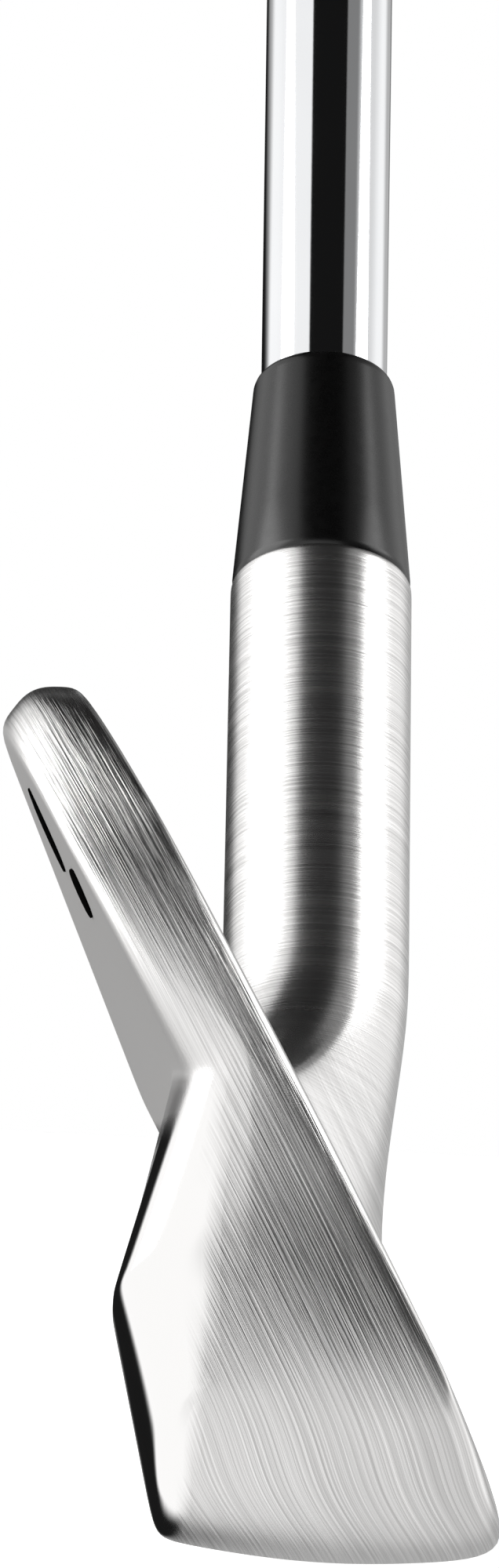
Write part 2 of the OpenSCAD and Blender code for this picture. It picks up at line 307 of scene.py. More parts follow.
def cage_point(i, j, k):
    if i == 0 and 0 < j < LEVELS and 0 < k < STEPS:
        return wall_point(j, k)
    if i <= TOE_N + BLADE_N:
        return blade_point(i, j, k)
    if i <= TOE_N + BLADE_N + NECK_N:
        return neck_point((i - TOE_N - BLADE_N) / NECK_N, j, k)
    s = HOSEL_S[i - TOE_N - BLADE_N - NECK_N - 1]
    return hosel_point(s, j, k, HOSEL_R - (0.2 if s == HOSEL_TOP else 0))


# %% [markdown]
# Cutting the cube's edges one direction at a time keeps every face four-sided, which a Subdivision
# Surface needs for a clean highlight.

# %% Cut the cube and place its vertices
def new_object(name, bm, materials=()):
    mesh = bpy.data.meshes.new(name)
    bm.to_mesh(mesh)
    bm.free()
    for m in materials:
        mesh.materials.append(m)
    obj = bpy.data.objects.new(name, mesh)
    bpy.context.scene.collection.objects.link(obj)
    return obj


def settle(obj):
    """Applies the modifiers of obj, so that its finished mesh can be worked on."""
    graph = bpy.context.evaluated_depsgraph_get()
    done = bpy.data.meshes.new_from_object(obj.evaluated_get(graph))
    obj.modifiers.clear()
    obj.data = done
    return obj


def box_grid(nx, ny, nz):
    bm = bmesh.new()
    bmesh.ops.create_cube(bm, size=1, matrix=Matrix.Diagonal((nx, ny, nz, 1)) @ Matrix.Translation((.5, .5, .5)))
    for axis, cuts in ((0, nx), (1, ny), (2, nz)):
        edges = [e for e in bm.edges if abs((e.verts[0].co - e.verts[1].co)[axis]) > 0.5]
        bmesh.ops.subdivide_edges(bm, edges=edges, cuts=cuts - 1, use_grid_fill=True)
    return bm


bm = box_grid(STATIONS, STEPS, LEVELS)
lid = [f for f in bm.faces if all(round(v.co.x) == STATIONS for v in f.verts)]
bmesh.ops.delete(bm, geom=lid, context="FACES")
for v in bm.verts:
    i, k, j = (round(c) for c in v.co)
    v.co = cage_point(i, j, k) * MM
bmesh.ops.recalc_face_normals(bm, faces=bm.faces)
print("cage:", len(bm.faces), "faces")
head = new_object("forged_head", bm)
sub = head.modifiers.new("round", "SUBSURF")
sub.levels = sub.render_levels = 2
settle(head)
print("head after subdivision:", len(head.data.polygons), "faces")

# %% [markdown]
# The hosel is drilled to take the shaft. The open loop at its top is drawn in to a flat rim and then
# down into the bore, which a last face closes.

# %% Drill the hosel
def loop_verts(bm):
    return [e for e in bm.edges if e.is_boundary]


def pull_loop(bm, edges, move):
    out = bmesh.ops.extrude_edge_only(bm, edges=edges)["geom"]
    for v in (g for g in out if isinstance(g, bmesh.types.BMVert)):
        v.co = move(v.co)
    return [g for g in out if isinstance(g, bmesh.types.BMEdge)]


def to_radius(co, r):
    s = co.dot(AXIS)
    radial = co - AXIS * s
    return AXIS * s + radial.normalized() * r


bm = bmesh.new()
bm.from_mesh(head.data)
rim = loop_verts(bm)
rim = pull_loop(bm, rim, lambda co: to_radius(co, BORE_R * MM))
rim = pull_loop(bm, rim, lambda co: co - AXIS * BORE_DEPTH * MM)
bmesh.ops.holes_fill(bm, edges=rim)
bmesh.ops.recalc_face_normals(bm, faces=bm.faces)
for f in bm.faces:
    f.smooth = True
bm.to_mesh(head.data)
bm.free()
print("closed head:", len(head.data.vertices), "vertices")
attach(head, "root")
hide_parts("head")

# %% [markdown]
# Thirteen straight score lines are milled across the striking face. The flat face is cut along the two
# sides of each line with bisect_plane, and along one upright plane at each end, so that the faces inside a
# line can be picked out by their centres and pushed in.

# %% Mill the score lines
FACE_N = Vector((0, -cos(LOFT), sin(LOFT)))
UP_FACE = Vector((0, sin(LOFT), cos(LOFT)))
FACE_0 = Vector((0, -FACE_FWD, 0))
GROOVE_W, GROOVE_DEPTH, GROOVE_PITCH = 0.9, 0.45, 3.6


def on_face(co, x_low=-64, x_high=-17):
    return abs((co / MM - FACE_0).dot(FACE_N)) < 0.05 and x_low < co.x / MM < x_high


def cut(bm, faces, co, no):
    geom = list(faces) + list({e for f in faces for e in f.edges}) + list({v for f in faces for v in f.verts})
    bmesh.ops.bisect_plane(bm, geom=geom, plane_co=co * MM, plane_no=no, dist=1e-7)


def groove_ends(v):
    h = v * cos(LOFT)
    left = max(toe_x(h) + 9, -BLADE_LEN + 15)
    return left, min(HEEL_X - 7, LINE_X + (LINE_H - h) / tan(TOP_FALL) - 7)


bm = bmesh.new()
bm.from_mesh(head.data)
count = int((TOE_H / cos(LOFT) - 14) / GROOVE_PITCH)
milled = 0
for n in range(count):
    v = 7 + n * GROOVE_PITCH
    left, right = groove_ends(v)
    if right - left < 8:
        continue
    near = [f for f in bm.faces if on_face(f.calc_center_median())
            and abs((f.calc_center_median() / MM - FACE_0).dot(UP_FACE) - v) < 4]
    for side in (-1, 1):
        cut(bm, near, FACE_0 + UP_FACE * (v + side * GROOVE_W / 2), UP_FACE)
        near = [f for f in bm.faces if on_face(f.calc_center_median())
                and abs((f.calc_center_median() / MM - FACE_0).dot(UP_FACE) - v) < 4]
    for x in (left, right):
        near = [f for f in bm.faces if on_face(f.calc_center_median())
                and abs((f.calc_center_median() / MM - FACE_0).dot(UP_FACE) - v) < GROOVE_W / 2]
        cut(bm, near, Vector((x, 0, 0)), Vector((1, 0, 0)))
    floor_faces = [f for f in bm.faces if on_face(f.calc_center_median(), left, right)
                   and abs((f.calc_center_median() / MM - FACE_0).dot(UP_FACE) - v) < GROOVE_W / 2]
    if floor_faces:
        made = bmesh.ops.extrude_face_region(bm, geom=floor_faces)["geom"]
        bmesh.ops.delete(bm, geom=floor_faces, context="FACES")
        sunk = [g for g in made if isinstance(g, bmesh.types.BMVert)]
        bmesh.ops.translate(bm, verts=sunk, vec=-FACE_N * GROOVE_DEPTH * MM)
        milled += 1
bmesh.ops.recalc_face_normals(bm, faces=bm.faces)
for e in bm.edges:
    e.smooth = e.is_manifold and e.calc_face_angle(0) < radians(35)
bm.to_mesh(head.data)
bm.free()
print("score lines:", milled, "head faces:", len(head.data.polygons))

# %% [markdown]
# Two small leaves are stamped in the toe end of the back and filled with black paint. Each is a few points
# on a pointed oval, given its thickness by an extrude.

# %% The painted leaves
def leaf_mark(bm, x, v, length, width, angle, steps=18):
    outline = []
    for n in range(2 * steps):
        t = n / steps if n <= steps else 2 - n / steps
        side = 1 if n < steps else -1
        along, across = (t - 0.5) * length, side * width / 2 * max(0.0, sin(pi * t ** 1.25)) ** 0.6
        px, pv = x + along * cos(angle) - across * sin(angle), v + along * sin(angle) + across * cos(angle)
        outline.append(bm.verts.new((FACE_0 + Vector((px, 0, 0)) + UP_FACE * pv - FACE_N * (TOP_T - 0.16)) * MM))
    face = bm.faces.new(outline)
    top = bmesh.ops.extrude_face_region(bm, geom=[face])["geom"]
    bmesh.ops.translate(bm, verts=[g for g in top if isinstance(g, bmesh.types.BMVert)], vec=-FACE_N * 0.27 * MM)


MARK_X, MARK_V = -BLADE_LEN + 15, (TOE_H - 6) / cos(LOFT)
bm = bmesh.new()
leaf_mark(bm, MARK_X, MARK_V, 8.8, 2.3, radians(-37))
leaf_mark(bm, MARK_X - 2, MARK_V - 4.2, 7.2, 2.6, radians(-20))
bmesh.ops.recalc_face_normals(bm, faces=bm.faces)
marks = new_object("painted_leaves", bm)
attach(marks, "root")
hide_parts("back_mark")
print("leaves:", len(marks.data.vertices), "vertices")

# %% [markdown]
# Everything above the head is turned, so it is made the way a lathe makes it: a few profile points are
# joined by edges, spun once round the shaft's axis, and the seam is welded. Points are given as distance
# along the axis and radius.

# %% Turn a profile round the shaft's axis
def turned(name, profile, steps=96, closed=False):
    bm = bmesh.new()
    verts = [bm.verts.new((AXIS * s + UP_TOE * r) * MM) for s, r in profile]
    for a, b in zip(verts, verts[1:]):
        bm.edges.new((a, b))
    if closed:
        bm.edges.new((verts[-1], verts[0]))
    bmesh.ops.spin(bm, geom=bm.verts[:] + bm.edges[:], cent=(0, 0, 0), axis=AXIS, angle=2 * pi,
                   steps=steps, use_merge=True)
    bmesh.ops.remove_doubles(bm, verts=bm.verts, dist=1e-7)
    bmesh.ops.recalc_face_normals(bm, faces=bm.faces)
    for f in bm.faces:
        f.smooth = True
    for e in bm.edges:
        e.smooth = e.is_manifold and e.calc_face_angle(0) < radians(40)
    obj = new_object(name, bm)
    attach(obj, "root")
    return obj


def rounded(s, r, radius, from_a, to_a, steps=6):
    """Points of an arc about (s, r); angles run from the axis's direction out to the radius."""
    return [(s + radius * cos(a), r + radius * sin(a))
            for a in (mix(radians(from_a), radians(to_a), n / steps) for n in range(steps + 1))]


# %% [markdown]
# The steel tube is drawn down in thirteen small steps from butt to tip, and the last 130 mm taper. Each
# step is a short ramp whose two corners are eased, so that the chrome shows a thin bright ring.

# %% The stepped shaft
TIP_R, TIP_TAPER, TAPER_LEN = 4.51, 0.00375, 130.0
TIP_S = HOSEL_TOP - BORE_DEPTH + 0.5
CLUB_LEN, CAP_H, GRIP_LEN = 952.5, 4.5, 262.0
BUTT_R, STEPS_N, STEP_PITCH, STEP_RAMP = 7.62, 13, 44.5, 1.6
WALL = 0.5
STEP_0 = TIP_S + 215
BUTT_S = CLUB_LEN - CAP_H - 1
PAR_R = TIP_R + TIP_TAPER * TAPER_LEN
STEP_R = (BUTT_R - PAR_R) / STEPS_N
GRIP_S = CLUB_LEN - CAP_H - GRIP_LEN


def shaft_r(s):
    if s < TIP_S + TAPER_LEN:
        return TIP_R + TIP_TAPER * (s - TIP_S)
    return PAR_R + STEP_R * sum(s > STEP_0 + k * STEP_PITCH for k in range(STEPS_N))


shaft_line = [(TIP_S, TIP_R - WALL), (TIP_S, TIP_R), (HOSEL_TOP, shaft_r(HOSEL_TOP)), (TIP_S + TAPER_LEN, PAR_R)]
for k in range(STEPS_N):
    s = STEP_0 + k * STEP_PITCH
    for t in (0, 0.12, 0.3, 0.5, 0.7, 0.88, 1):
        shaft_line.append((s + STEP_RAMP * t, PAR_R + STEP_R * (k + t * t * (3 - 2 * t))))
shaft_line += [(BUTT_S, BUTT_R), (BUTT_S, BUTT_R - WALL)]
shaft = turned("stepped_shaft", shaft_line + [(BUTT_S - 20, BUTT_R - WALL), (TIP_S + 20, TIP_R - WALL)], 128, True)
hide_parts("shaft")
print("shaft:", len(shaft.data.polygons), "faces")

# %% [markdown]
# The ferrule is a turned black plastic collar that hides the joint. It tapers from just under the hosel's
# size to a thin lip on the shaft.

# %% The ferrule
FERRULE_S, FERRULE_R, FERRULE_LIP = HOSEL_TOP + 17.8, HOSEL_R - 0.1, 0.6
top_r = shaft_r(FERRULE_S) + FERRULE_LIP
ferrule_line = [(HOSEL_TOP, shaft_r(HOSEL_TOP) + 0.06), (HOSEL_TOP, FERRULE_R - 0.15), (HOSEL_TOP + 0.25, FERRULE_R - 0.03),
                (HOSEL_TOP + 0.6, FERRULE_R)]
for t in (0.25, 0.5, 0.75, 1):
    ferrule_line.append((mix(HOSEL_TOP + 0.6, FERRULE_S - 0.9, t), mix(FERRULE_R, top_r, t)))
for a in (20, 40, 60, 75, 90):
    ferrule_line.append((FERRULE_S - 0.9 * (1 - sin(radians(a))),
                         shaft_r(FERRULE_S) + mix(0.06, FERRULE_LIP, cos(radians(a)))))
ferrule = turned("turned_ferrule", ferrule_line, 96, True)
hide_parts("ferrule")
print("ferrule from", round(FERRULE_R, 2), "to", round(top_r, 2), "mm radius")

# %% [markdown]
# A film band is wrapped on the shaft below the grip. It is only a tenth of a millimetre thick.

# %% The band
BAND_LEN = 58.0
BAND_S = GRIP_S - BAND_LEN - 22


def band_r(s):
    return shaft_r(s) + 0.1


band_line = [(BAND_S, shaft_r(BAND_S)), (BAND_S, band_r(BAND_S))]
for k in range(STEPS_N):
    s = STEP_0 + k * STEP_PITCH
    if BAND_S < s < BAND_S + BAND_LEN - STEP_RAMP:
        band_line += [(s, band_r(s)), (s + STEP_RAMP, band_r(s + STEP_RAMP))]
band_line += [(BAND_S + BAND_LEN, band_r(BAND_S + BAND_LEN)), (BAND_S + BAND_LEN, shaft_r(BAND_S + BAND_LEN))]
band = turned("film_band", band_line, 96)
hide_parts("shaft_band")

# %% [markdown]
# The rubber sleeve grows from its mouth to its butt. Its moulded pattern is real relief: rows of small
# dimples between two smooth rings, made by pushing the spun mesh's vertices in by a formula.

# %% The grip
TAPE_T, MOUTH_WALL, BUTT_WALL = 0.2, 1.7, 5.3
MOUTH_R = shaft_r(GRIP_S) + TAPE_T + MOUTH_WALL
GRIP_R = BUTT_R + TAPE_T + BUTT_WALL


def grip_r(s):
    t = min(1.0, max(0.0, (s - GRIP_S - 1.2) / (GRIP_LEN - 1.2)))
    return mix(MOUTH_R, GRIP_R, 0.35 * t + 0.65 * t * t)


grip_end = CLUB_LEN - CAP_H
grip_line = [(GRIP_S + 3, shaft_r(GRIP_S) + TAPE_T), (GRIP_S, shaft_r(GRIP_S) + 0.05), (GRIP_S, MOUTH_R - 0.7),
             (GRIP_S + 0.35, MOUTH_R - 0.25)]
rows = 520
grip_line += [(mix(GRIP_S + 1.2, grip_end, n / rows), grip_r(mix(GRIP_S + 1.2, grip_end, n / rows))) for n in range(rows + 1)]
grip_line += [(grip_end, BUTT_R + TAPE_T), (grip_end - 30, BUTT_R + TAPE_T)]
grip = turned("grip_rubber_sleeve", grip_line, 144, True)
SIDE = AXIS.cross(UP_TOE)
for v in grip.data.vertices:
    s = v.co.dot(AXIS) / MM
    out = v.co / MM - AXIS * s
    if out.length < grip_r(s) - 0.05 or not GRIP_S + 12 < s < grip_end - 8:
        continue
    around = math.atan2(out.dot(SIDE), out.dot(UP_TOE)) * 24
    wave = sin((s - GRIP_S) * 2 * pi / 4) * sin(around)
    depth = 0.28 * max(0.0, wave) ** 0.6
    v.co -= out.normalized() * depth * MM
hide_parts("grip_sleeve")
print("grip:", len(grip.data.polygons), "faces, mouth", round(2 * MOUTH_R, 1), "butt", round(2 * GRIP_R, 1), "mm")

# %% [markdown]
# The cap closes the butt. It has a rounded edge, a shallow ring, and the vent that lets air out as the grip
# slides on.

# %% The cap
VENT_R, CAP_ROUND = 1.25, 2.4
cap_line = [(grip_end, VENT_R), (grip_end, GRIP_R)]
for a in range(0, 91, 10):
    cap_line.append((CLUB_LEN - CAP_ROUND * (1 - sin(radians(a))), GRIP_R - CAP_ROUND * (1 - cos(radians(a)))))
cap_line += [(CLUB_LEN, 8.4), (CLUB_LEN - 0.35, 8.1), (CLUB_LEN - 0.35, 7.3), (CLUB_LEN, 7.0), (CLUB_LEN, VENT_R + 0.3),
             (CLUB_LEN - 0.3, VENT_R)]
cap = turned("grip_end_cap", cap_line, 96, True)
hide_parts("grip_cap")
# %% [markdown]
# A finish on steel is mostly the direction and depth of its last scratches. Each vertex of the head
# therefore carries two things. A "brush" vector holds a value that is constant along the blade's scratches,
# one that is constant along the hosel's, and the share of the second. A "finish" colour says how brushed,
# polished, satin or milled the steel is there, and marks the score lines' floors for a painted dark shade.

# %% Paint the head's finish on its vertices
def smooth_step(low, high, value):
    t = min(1.0, max(0.0, (value - low) / (high - low)))
    return t * t * (3 - 2 * t)


def soft_plus(value, width):
    return width * math.log1p(math.exp(min(40.0, value / width)))


def brush_line(p):
    """Which scratch p lies on: along the face's slope high on the toe, upright and then swept back near the sole."""
    lean = tan(LOFT) * soft_plus(p.z - 7.5, 1.5)
    sweep = 0.9 * soft_plus(5.5 - p.z, 1.2)
    return p.y - lean + sweep


def on_face_area(p):
    """Whether p lies in the patch of the face that holds the score lines."""
    v = (p - FACE_0).dot(UP_FACE)
    left, right = groove_ends(v)
    return left - 1 < p.x < right + 1 and v > 6


def finish_at(p, n):
    on_toe = smooth_step(0.25, 0.6, -n.x) * smooth_step(-30, -45, p.x)
    on_hosel = smooth_step(30, 44, p.dot(AXIS)) if p.x > HEEL_X - 6 else 0.0
    muscle = smooth_step(12.4, 13.2, p.y) * smooth_step(31, 28, p.z)
    behind = smooth_step(0.5, 0.9, -n.dot(FACE_N))
    satin_back_and_groove_shade = behind * smooth_step(25.4, 26.6, p.z) * (1 - on_hosel)
    # by depth behind the face, so that the score lines' walls share the face's finish
    depth = -(p - FACE_0).dot(FACE_N)
    inside = smooth_step(0.93, 0.99, n.dot(FACE_N)) if depth < 0.02 else 0.0
    in_line = 1.0 if depth < GROOVE_DEPTH + 0.05 and on_face_area(p) else 0.0
    face = max(inside, in_line) * smooth_step(-10, -18, p.x)
    # a line's floor is marked as both face and back, which nothing else is, so that the steel material paints it dark
    # as shade
    if in_line and depth > GROOVE_DEPTH / 2:
        satin_back_and_groove_shade = 1.0
    return on_toe * (1 - muscle), max(muscle, 0.0), satin_back_and_groove_shade, face


def paint(mesh):
    lines, tones = [], []
    for v in mesh.vertices:
        p, n = v.co / MM, v.normal
        toe, muscle, satin_back_and_groove_shade, face = finish_at(p, n)
        s = p.dot(AXIS)
        lines += [brush_line(p), s, smooth_step(14, 44, s) * smooth_step(-24, -8, p.x)]
        tones += [toe, muscle, satin_back_and_groove_shade, face]
    # a new attribute moves the older ones in memory, so each is looked up by name just before it is filled
    mesh.attributes.new("brush", "FLOAT_VECTOR", "POINT")
    mesh.attributes.new("finish", "FLOAT_COLOR", "POINT")
    mesh.attributes["brush"].data.foreach_set("vector", lines)
    mesh.attributes["finish"].data.foreach_set("color", tones)


paint(head.data)
made = bmesh.new()
made.from_mesh(head.data)
size = [max(v.co[n] for v in made.verts) - min(v.co[n] for v in made.verts) for n in range(3)]
print("head, mm:", [round(v / MM, 2) for v in size], "volume, cm3:", round(made.calc_volume(signed=True) * 1e6, 2))
made.free()

# %% [markdown]
# Materials are built from nodes. One helper adds a node, sets its options, and fills each input with a
# value or a link. Colours are written as the sRGB hex a designer would read off a swatch, and turned to
# the linear values that a renderer works in.

# %% Material helpers
def colour(hex_value):
    parts = [int(hex_value[n:n + 2], 16) / 255 for n in (1, 3, 5)]
    return [c / 12.92 if c <= 0.04045 else ((c + 0.055) / 1.055) ** 2.4 for c in parts] + [1.0]


def add(tree, kind, inputs=None, **settings):
    n = tree.nodes.new(kind)
    for key, value in settings.items():
        setattr(n, key, value)
    for socket, value in (inputs or {}).items():
        if isinstance(value, bpy.types.NodeSocket):
            tree.links.new(value, n.inputs[socket])
        else:
            n.inputs[socket].default_value = value
    return n


def blank(name):
    m = bpy.data.materials.new(name)
    m.use_nodes = True
    m.node_tree.nodes.clear()
    return m, m.node_tree


def finish_material(tree, shader):
    add(tree, "ShaderNodeOutputMaterial", {"Surface": shader.outputs[0]})


def dress(obj, material):
    obj.data.materials.clear()
    obj.data.materials.append(material)


# %% [markdown]
# Forged carbon steel, plated and finished by hand. The toe, sole and hosel are brushed with a belt, whose
# scratches are about a tenth of a millimetre apart and stretch the highlights across them. The muscle is
# polished on a soft wheel, the upper back is satin, and the face is milled and blasted.

# %% Brushed and polished forged steel
def forged_steel():
    m, t = blank("forged_steel_brushed_and_polished")
    brush = add(t, "ShaderNodeAttribute", attribute_name="brush")
    finish = add(t, "ShaderNodeAttribute", attribute_name="finish")
    parts = add(t, "ShaderNodeSeparateColor", {"Color": finish.outputs["Color"]})
    toe, muscle, back = parts.outputs[0], parts.outputs[1], parts.outputs[2]
    face = finish.outputs["Alpha"]
    place = add(t, "ShaderNodeTexCoord")
    split = add(t, "ShaderNodeSeparateXYZ", {"Vector": brush.outputs["Vector"]})
    # a slow change along the scratches, about one for each 20 mm, so that none is endless
    slow = add(t, "ShaderNodeVectorMath", {0: place.outputs["Object"], 1: (9.0, 6.0, 8.0)}, operation="DOT_PRODUCT")

    def scratches(across, scale):
        at = add(t, "ShaderNodeCombineXYZ", {"X": across, "Y": slow.outputs["Value"]})
        return add(t, "ShaderNodeTexNoise", {"Vector": at.outputs[0], "Scale": scale, "Detail": 3.0,
                                             "Roughness": 0.65}).outputs["Fac"]

    def both(scale):
        """The blade's scratches cross-faded into the hosel's, so that they cross on the neck."""
        return add(t, "ShaderNodeMix", {0: split.outputs["Z"], 2: scratches(split.outputs["X"], scale),
                                        3: scratches(split.outputs["Y"], scale)}).outputs[0]

    # 6 scratches in each millimetre, and broader streaks of about a millimetre
    scratch, broad = both(6.0), both(0.9)
    grit = add(t, "ShaderNodeTexNoise", {"Vector": place.outputs["Object"], "Scale": 4500.0, "Detail": 2.0})
    cloud = add(t, "ShaderNodeTexNoise", {"Vector": place.outputs["Object"], "Scale": 90.0, "Detail": 3.0})
    tone = add(t, "ShaderNodeMapRange", {"Value": scratch, "From Min": 0.35, "From Max": 0.65,
                                         "To Min": 0.0, "To Max": 1.0})
    steel = add(t, "ShaderNodeMix", {0: tone.outputs[0], 6: colour("#C4C3C2"), 7: colour("#F0EFEE")},
                data_type="RGBA")
    polished = add(t, "ShaderNodeMix", {0: muscle, 6: steel.outputs[2], 7: colour("#EFEEED")}, data_type="RGBA")
    satin = add(t, "ShaderNodeMix", {0: back, 6: polished.outputs[2], 7: colour("#D6D5D4")}, data_type="RGBA")
    milled = add(t, "ShaderNodeMix", {0: face, 6: satin.outputs[2], 7: colour("#9C9B9A")}, data_type="RGBA")
    # painted shade: where back and face are both marked, which is only on the score lines' floors, the steel is
    # coloured dark grey to stand for the shade inside the grooves
    floor = add(t, "ShaderNodeMath", {0: back, 1: face}, operation="MULTIPLY")
    with_painted_groove_shade = add(t, "ShaderNodeMix", {0: floor.outputs[0], 6: milled.outputs[2], 7: colour("#3B3A39")},
                 data_type="RGBA")
    rough = add(t, "ShaderNodeMapRange", {"Value": broad, "To Min": 0.22, "To Max": 0.31})
    rough_p = add(t, "ShaderNodeMix", {0: muscle, 2: rough.outputs[0], 3: 0.09})
    rough_b = add(t, "ShaderNodeMix", {0: back, 2: rough_p.outputs[0], 3: 0.5})
    rough_f = add(t, "ShaderNodeMix", {0: face, 2: rough_b.outputs[0], 3: 0.46})
    # relief: scratches fade out where the steel is polished, grit shows on the back and face
    keep = add(t, "ShaderNodeMath", {0: 1.0, 1: muscle}, operation="SUBTRACT")
    # the belt bites deeper on the toe than on the hosel
    bite = add(t, "ShaderNodeMapRange", {"Value": toe, "To Min": 0.1, "To Max": 0.3})
    depth = add(t, "ShaderNodeMath", {0: keep.outputs[0], 1: bite.outputs[0]}, operation="MULTIPLY")
    lines = add(t, "ShaderNodeMath", {0: scratch, 1: depth.outputs[0]}, operation="MULTIPLY")
    cut_in = add(t, "ShaderNodeBump", {"Height": lines.outputs[0], "Strength": 0.8, "Distance": 0.00022})
    rub = add(t, "ShaderNodeMath", {0: back, 1: face}, operation="ADD")
    grain = add(t, "ShaderNodeMath", {0: grit.outputs["Fac"], 1: rub.outputs[0]}, operation="MULTIPLY")
    blasted = add(t, "ShaderNodeBump", {"Height": grain.outputs[0], "Strength": 0.35, "Distance": 0.00004,
                                        "Normal": cut_in.outputs[0]})
    waviness = add(t, "ShaderNodeBump", {"Height": cloud.outputs["Fac"], "Strength": 0.08, "Distance": 0.0002,
                                         "Normal": blasted.outputs[0]})
    shader = add(t, "ShaderNodeBsdfPrincipled", {"Base Color": with_painted_groove_shade.outputs[2], "Metallic": 1.0,
                                                 "Roughness": rough_f.outputs[0], "Normal": waviness.outputs[0]})
    finish_material(t, shader)
    return m


dress(head, forged_steel())

# %% [markdown]
# Nickel-chrome plate over a drawn tube: nearly a mirror, with the faint haze that drawing and polishing
# leave along it.

# %% Chrome plate
def chrome_plate():
    m, t = blank("nickel_chrome_plate_polished")
    place = add(t, "ShaderNodeTexCoord")
    haze = add(t, "ShaderNodeTexNoise", {"Vector": place.outputs["Object"], "Scale": 60.0, "Detail": 4.0})
    rough = add(t, "ShaderNodeMapRange", {"Value": haze.outputs["Fac"], "To Min": 0.03, "To Max": 0.09})
    tint = add(t, "ShaderNodeMix", {0: haze.outputs["Fac"], 6: colour("#E3E4E6"), 7: colour("#EEEFF0")},
               data_type="RGBA")
    fine = add(t, "ShaderNodeTexNoise", {"Vector": place.outputs["Object"], "Scale": 2500.0})
    relief = add(t, "ShaderNodeBump", {"Height": fine.outputs["Fac"], "Strength": 0.03, "Distance": 0.00002})
    shader = add(t, "ShaderNodeBsdfPrincipled", {"Base Color": tint.outputs[2], "Metallic": 1.0,
                                                 "Roughness": rough.outputs[0], "Normal": relief.outputs[0]})
    finish_material(t, shader)
    return m


dress(shaft, chrome_plate())

# %% [markdown]
# The other finishes are plain plastics, rubber, paint, brass and glue. They share one recipe: two close
# colours, mixed by a noise whose grain has a real size, with the same noise in roughness and relief.

# %% Plastics, rubber, paint, brass, glue and tape
def grained(name, dark, light, grain_mm, rough_low, rough_high, relief_mm, **sockets):
    m, t = blank(name)
    place = add(t, "ShaderNodeTexCoord")
    noise = add(t, "ShaderNodeTexNoise", {"Vector": place.outputs["Object"], "Scale": 1000 / grain_mm, "Detail": 4.0})
    tint = add(t, "ShaderNodeMix", {0: noise.outputs["Fac"], 6: colour(dark), 7: colour(light)}, data_type="RGBA")
    rough = add(t, "ShaderNodeMapRange", {"Value": noise.outputs["Fac"], "To Min": rough_low, "To Max": rough_high})
    relief = add(t, "ShaderNodeBump", {"Height": noise.outputs["Fac"], "Strength": 0.5, "Distance": relief_mm * MM})
    inputs = {"Base Color": tint.outputs[2], "Roughness": rough.outputs[0], "Normal": relief.outputs[0]}
    inputs.update({key.replace("_", " "): value for key, value in sockets.items()})
    finish_material(t, add(t, "ShaderNodeBsdfPrincipled", inputs))
    return m


dress(marks, grained("black_paint_fill", "#020202", "#080808", 0.3, 0.7, 0.85, 0.01, Specular_IOR_Level=0.0))
dress(ferrule, grained("cellulose_acetate_turned", "#040404", "#090909", 0.8, 0.24, 0.31, 0.0015, IOR=1.48))
rubber = grained("moulded_natural_rubber", "#141414", "#232323", 0.25, 0.62, 0.85, 0.03)
dress(grip, rubber)
dress(cap, rubber)
dress(band, grained("printed_film_satin", "#1B1B1D", "#2A2A2D", 1.5, 0.3, 0.42, 0.003))
hidden = {"hosel_epoxy": grained("cured_epoxy", "#8A8468", "#A59F80", 1.0, 0.3, 0.5, 0.02),
          "tip_plug": grained("turned_brass", "#B9974A", "#CFAE63", 0.5, 0.2, 0.35, 0.01, Metallic=1.0),
          "grip_tape": grained("crepe_paper_tape", "#D2CDB8", "#E6E1CE", 0.4, 0.7, 0.9, 0.05)}
for name, material in hidden.items():
    dress_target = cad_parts[name]
    for slot_n in range(len(dress_target.material_slots)):
        dress_target.material_slots[slot_n].material = material
print("materials:", len(bpy.data.materials))

# %% [markdown]
# The set is a pale floor under an even white surround. Polished steel only shows what stands round it, so
# the surround has one large white softbox at the back's side, a softer one at the face's side, and a dark
# ceiling between them that gives the shaft and the toe their black bands.

# %% Floor
bm = bmesh.new()
bmesh.ops.create_grid(bm, x_segments=1, y_segments=1, size=6)
floor = new_object("pale_floor", bm)
dress(floor, grained("matt_pale_board", "#F4F4F3", "#F8F8F7", 2.0, 0.9, 0.95, 0.01))
floor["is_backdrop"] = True
floor.visible_glossy = False
floor_shader = next(n for n in floor.data.materials[0].node_tree.nodes if n.type == "BSDF_PRINCIPLED")
floor_shader.inputs["Emission Color"].default_value = (1, 1, 1, 1)
floor_shader.inputs["Emission Strength"].default_value = 0.7

# %% The white surround with its dark ceiling
world = bpy.data.worlds.new("studio")
bpy.context.scene.world = world
world.use_nodes = True
wt = world.node_tree
wt.nodes.clear()


look = add(wt, "ShaderNodeTexCoord").outputs["Generated"]
parts = add(wt, "ShaderNodeSeparateXYZ", {"Vector": look})


def band(value, low, high):
    """0 where value is below low, 1 above high, and smooth between."""
    return add(wt, "ShaderNodeMapRange", {"Value": value, "From Min": low, "From Max": high},
               interpolation_type="SMOOTHSTEP").outputs[0]


def lobe(direction, inner, outer):
    """1 inside `inner` degrees from a direction, falling to 0 at `outer` degrees."""
    dot = add(wt, "ShaderNodeVectorMath", {0: look, 1: Vector(direction).normalized()}, operation="DOT_PRODUCT")
    return band(dot.outputs["Value"], cos(radians(outer)), cos(radians(inner)))


def layer(under, mask, grey):
    return add(wt, "ShaderNodeMix", {0: mask, 6: under, 7: (grey, grey, grey, 1)}, data_type="RGBA").outputs[2]


def overlap(a, b):
    return add(wt, "ShaderNodeMath", {0: a, 1: b}, operation="MULTIPLY").outputs[0]


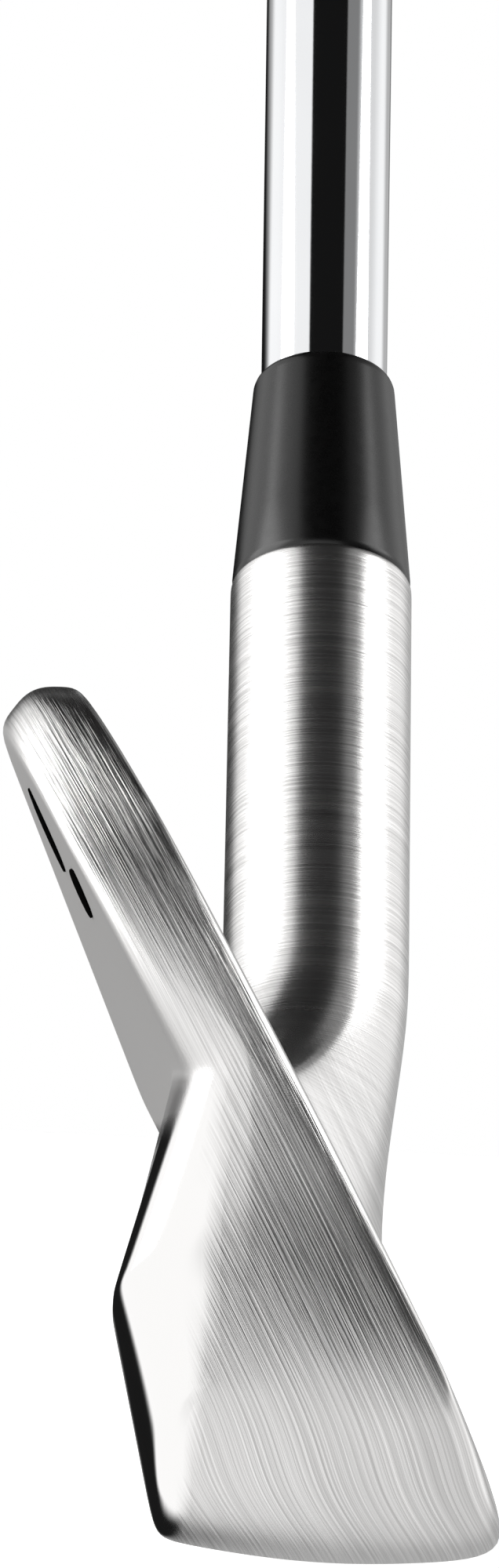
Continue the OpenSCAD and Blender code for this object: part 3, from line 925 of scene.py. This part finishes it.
surround = add(wt, "ShaderNodeRGB")
surround.outputs[0].default_value = (0.8, 0.8, 0.8, 1)
light = layer(surround.outputs[0], band(parts.outputs[1], 0.0, 0.28), 1.12)
low_card = overlap(band(parts.outputs[1], -0.1, 0.08), band(parts.outputs[2], -0.45, -0.65))
light = layer(light, low_card, 1.12)
light = layer(light, band(parts.outputs[1], -0.5, -0.75), 1.1)
flag = overlap(band(parts.outputs[1], -0.22, -0.4), band(parts.outputs[0], -0.2, -0.42))
flag = overlap(flag, band(parts.outputs[2], -0.8, -0.6))
light = layer(light, flag, 0.05)
high = layer(surround.outputs[0], band(parts.outputs[1], -0.72, -0.62), 0.24)
high = layer(high, band(parts.outputs[1], -0.42, -0.38), 0.008)
high = layer(high, band(parts.outputs[1], 0.44, 0.48), 1.05)
light = add(wt, "ShaderNodeMix", {0: band(parts.outputs[2], 0.36, 0.54), 6: light, 7: high}, data_type="RGBA").outputs[2]
light = layer(light, lobe((-0.5, -0.75, 0.4), 15, 26), 0.04)
light = layer(light, lobe((-0.8, -0.32, -0.5), 11, 27), 0.04)
behind = band(parts.outputs[0], 0.64, 0.82)
light = layer(light, behind, 0.5)
sideways = add(wt, "ShaderNodeMath", {0: parts.outputs[1]}, operation="ABSOLUTE").outputs[0]
over_toe = overlap(band(sideways, 0.42, 0.26), band(parts.outputs[2], 0.08, 0.2))
under_muscle = overlap(band(parts.outputs[1], -0.05, 0.03), band(parts.outputs[2], 0.26, 0.14))
light = layer(light, overlap(behind, over_toe), 0.02)
light = layer(light, overlap(behind, under_muscle), 0.01)
path = add(wt, "ShaderNodeLightPath")
seen = add(wt, "ShaderNodeMix", {0: path.outputs["Is Camera Ray"], 6: light, 7: (1, 1, 1, 1)}, data_type="RGBA")
back_drop = add(wt, "ShaderNodeBackground", {"Color": seen.outputs[2], "Strength": 1.0})
add(wt, "ShaderNodeOutputWorld", {"Surface": back_drop.outputs[0]})
bpy.context.scene.view_settings.view_transform = "Standard"

# %% Softboxes
def softbox(name, place, target, size, watts):
    data = bpy.data.lights.new(name, "AREA")
    data.shape = "SQUARE"
    data.size = size
    data.energy = watts
    obj = bpy.data.objects.new(name, data)
    obj.matrix_world = Matrix.Translation(place) @ (
        (Vector(target) - Vector(place)).to_track_quat("-Z", "Y").to_matrix().to_4x4())
    bpy.context.scene.collection.objects.link(obj)
    return obj


softbox("softbox_back", (-0.15, 1.3, 0.5), (0, 0, 0.15), 1.2, 14)
softbox("softbox_face", (-0.2, -1.4, 0.9), (0, 0, 0.15), 0.9, 7)

# %% [markdown]
# The camera stands close to the toe and looks along the blade, up the leaning shaft. Its long lens keeps
# the toe's outline true.

# %% Camera
cam_data = bpy.data.cameras.new("camera")
cam = bpy.data.objects.new("camera", cam_data)
bpy.context.scene.collection.objects.link(cam)
cam_data.lens = 166.8
cam_data.sensor_width = 36
cam_data.clip_start = 0.01
yaw, pitch, roll = radians(-3.89), radians(2.59), radians(3.2)
forward = Vector((cos(pitch) * cos(yaw), cos(pitch) * sin(yaw), sin(pitch)))
level_right = forward.cross(Vector((0, 0, 1))).normalized()
level_up = level_right.cross(forward)
right = level_right * cos(roll) + level_up * sin(roll)
up = level_up * cos(roll) - level_right * sin(roll)
turn = Matrix((right, up, -forward)).transposed().to_4x4()
cam.matrix_world = Matrix.Translation((-0.497, 0.0406, 0.0274)) @ turn
bpy.context.scene.camera = cam
print("camera looks along", tuple(round(v, 4) for v in forward))

# %% [markdown]
# Last, the visual model's box is compared with the engineering model's, which it must stay inside.

# %% Compare the boxes and finish
low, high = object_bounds()
over = [round(max(a - b, d - c) / MM, 2) for a, b, c, d in zip(cad_low, low, cad_high, high)]
print("outside the CAD box by, mm:", over)
